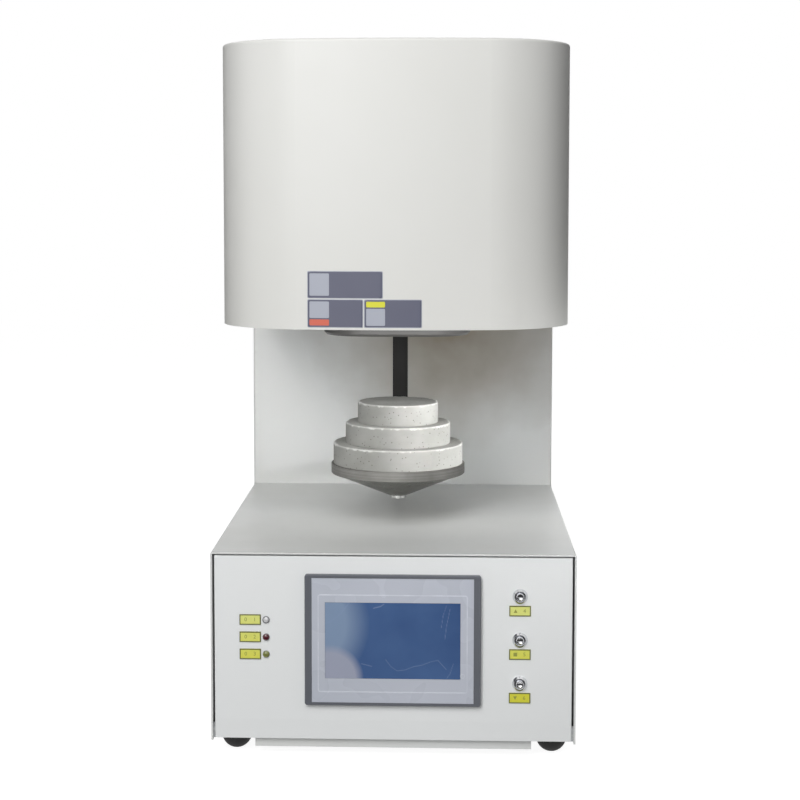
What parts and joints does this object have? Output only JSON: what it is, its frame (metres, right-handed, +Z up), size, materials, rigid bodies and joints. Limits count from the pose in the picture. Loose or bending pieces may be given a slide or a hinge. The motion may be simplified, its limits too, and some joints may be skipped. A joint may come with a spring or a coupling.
{
  "type": "dental sintering furnace",
  "caption": "Bench furnace for dental ceramics: a wide base with controls, a rear column, an overhanging round-cornered head, and a lift that raises a stepped fibre plug into the head's throat.",
  "frame": {"origin": "on the bench under the middle of the furnace: the centre of the bounding box's lower face", "axes": "+Z up, +Y from the control panel to the rear, +X to the right as seen from the front"},
  "size_m": [0.4264, 0.621, 0.832],
  "materials": {
    "head_paint": "satin",
    "case_paint": "satin",
    "panel_paint": "satin",
    "inner_steel": "satin",
    "dark_paint": "satin",
    "black_paint": "matte",
    "screw_steel": "satin",
    "black_rubber": "matte",
    "bezel_plastic": "satin",
    "display_face": "satin",
    "display_glass": "gloss",
    "black_plastic": "satin",
    "chrome": "polished",
    "clear_lens": "gloss",
    "red_lens": "gloss",
    "amber_lens": "gloss",
    "label_yellow": "satin",
    "fibre_board": "matte",
    "plate_steel": "satin",
    "cone_steel": "polished",
    "machined_aluminium": "satin",
    "ground_steel": "polished",
    "bronze": "satin",
    "core_steel": "matte",
    "board_green": "satin",
    "element_ceramic": "satin",
    "sheath_ceramic": "satin"
  },
  "bodies": {
    "furnace": {"base_floor": "inner_steel", "floor_rim": "inner_steel", "bottom_pan": "case_paint", "base_cover": "case_paint", "front_panel": "panel_paint", "rubber_feet": "black_rubber", "case_screws": "screw_steel", "touch_panel_bezel": "bezel_plastic", "touch_panel_face": "display_face", "touch_panel_screen": "display_glass", "touch_panel_case": "black_plastic", "lamp_holders": "chrome", "clear_lamp_lens": "clear_lens", "red_lamp_lens": "red_lens", "amber_lamp_lens": "amber_lens", "label_plates": "label_yellow", "button_housings": "chrome", "transformer": "core_steel", "power_controller": "machined_aluminium", "control_board": "board_green", "column_front": "case_paint", "column_cover": "case_paint", "rear_panel": "case_paint", "uprights": "inner_steel", "mains_inlet": "black_plastic", "rocker_housing": "black_plastic", "fan_frame": "black_plastic", "fan_guard": "chrome", "bearing_beams": "machined_aluminium", "guide_rods": "ground_steel", "lift_motor": "dark_paint", "head_cover": "head_paint", "head_floor": "inner_steel", "head_beams": "inner_steel", "throat_flange": "dark_paint", "furnace_can": "inner_steel", "insulation_ring": "fibre_board", "insulation_wall": "fibre_board", "insulation_roof": "fibre_board", "heating_elements": "element_ceramic", "element_clamps": "machined_aluminium", "thermocouple": "sheath_ceramic"},
    "lift": {"carriage": "machined_aluminium", "linear_bearings": "ground_steel", "lead_nut": "bronze", "lift_arm": "machined_aluminium", "slot_shutter": "black_paint", "tray_bolt": "ground_steel", "tray_cone": "cone_steel", "tray_plate": "plate_steel", "plug_lower": "fibre_board", "plug_middle": "fibre_board", "plug_upper": "fibre_board"},
    "screw": {"lead_screw": "ground_steel", "screw_coupling": "machined_aluminium"},
    "raise_button": {"raise_button": "chrome"},
    "stop_button": {"stop_button": "chrome"},
    "lower_button": {"lower_button": "chrome"},
    "power_rocker": {"power_rocker": "black_plastic"},
    "fan_rotor": {"fan_rotor": "black_plastic"}
  },
  "joints": [
    {"name": "lift_slide", "type": "slide", "parent": "furnace", "child": "lift", "axis": [0, 0, 1], "range_m": [0, 0.1675]},
    {"name": "screw_turn", "type": "hinge", "parent": "furnace", "child": "screw", "pos_m": [-0.003, 0.225, 0.3], "axis": [0, 0, 1], "range_deg": [-6040, 0]},
    {"name": "raise_button_press", "type": "slide", "parent": "furnace", "child": "raise_button", "axis": [0, 1, 0], "range_m": [0, 0.002], "stiffness_N_per_m": 400},
    {"name": "stop_button_press", "type": "slide", "parent": "furnace", "child": "stop_button", "axis": [0, 1, 0], "range_m": [0, 0.002], "stiffness_N_per_m": 400},
    {"name": "lower_button_press", "type": "slide", "parent": "furnace", "child": "lower_button", "axis": [0, 1, 0], "range_m": [0, 0.002], "stiffness_N_per_m": 400},
    {"name": "power_rocker_tilt", "type": "hinge", "parent": "furnace", "child": "power_rocker", "pos_m": [0.12, 0.2995, 0.138], "axis": [1, 0, 0], "range_deg": [-20, 0]},
    {"name": "fan_spin", "type": "hinge", "parent": "furnace", "child": "fan_rotor", "pos_m": [-0.11, 0.29, 0.13], "axis": [0, 1, 0], "continuous": true}
  ],
  "couplings": [
    {"joint": "screw_turn", "follows": "lift_slide", "rad_per_m": -628.32}
  ]
}
